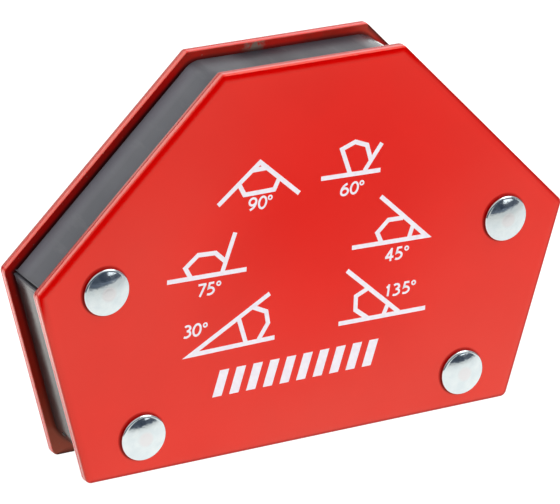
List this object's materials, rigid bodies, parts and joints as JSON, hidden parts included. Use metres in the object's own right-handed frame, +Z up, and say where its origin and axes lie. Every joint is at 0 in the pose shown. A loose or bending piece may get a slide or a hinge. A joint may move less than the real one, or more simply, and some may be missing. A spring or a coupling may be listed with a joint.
{
  "type": "welding magnet holder",
  "caption": "Six-sided magnetic angle holder for welding: two red steel plates riveted over a black core of block magnets, with edges that hold steel work at set angles.",
  "frame": {"origin": "middle of the base edge, on the plane that the holder stands on, midway between the two plates", "axes": "+X along the width, to the right seen from the front plate; +Y from the front plate to the rear plate; +Z up from the base edge to the top edge"},
  "size_m": [0.1196, 0.0202, 0.0815],
  "materials": {
    "painted_plate": "glossy red powder coat",
    "core_plastic": "satin black",
    "ferrite": "ground, dark grey",
    "spacer_steel": "turned",
    "rivet_zinc": "bright zinc plate",
    "printed_ink": "white screen print"
  },
  "bodies": {
    "root": {"front_plate": "painted_plate", "rear_plate": "painted_plate", "upper_core_half": "core_plastic", "lower_core_half": "core_plastic", "magnet_top": "ferrite", "magnet_centre_upper": "ferrite", "magnet_upper_left": "ferrite", "magnet_upper_right": "ferrite", "magnet_centre_lower": "ferrite", "magnet_lower_left": "ferrite", "magnet_lower_right": "ferrite", "magnet_base_left": "ferrite", "magnet_base_right": "ferrite", "spacer_upper_left": "spacer_steel", "spacer_upper_right": "spacer_steel", "spacer_lower_left": "spacer_steel", "spacer_lower_right": "spacer_steel", "rivet_upper_left": "rivet_zinc", "rivet_upper_right": "rivet_zinc", "rivet_lower_left": "rivet_zinc", "rivet_lower_right": "rivet_zinc"}
  },
  "joints": []
}
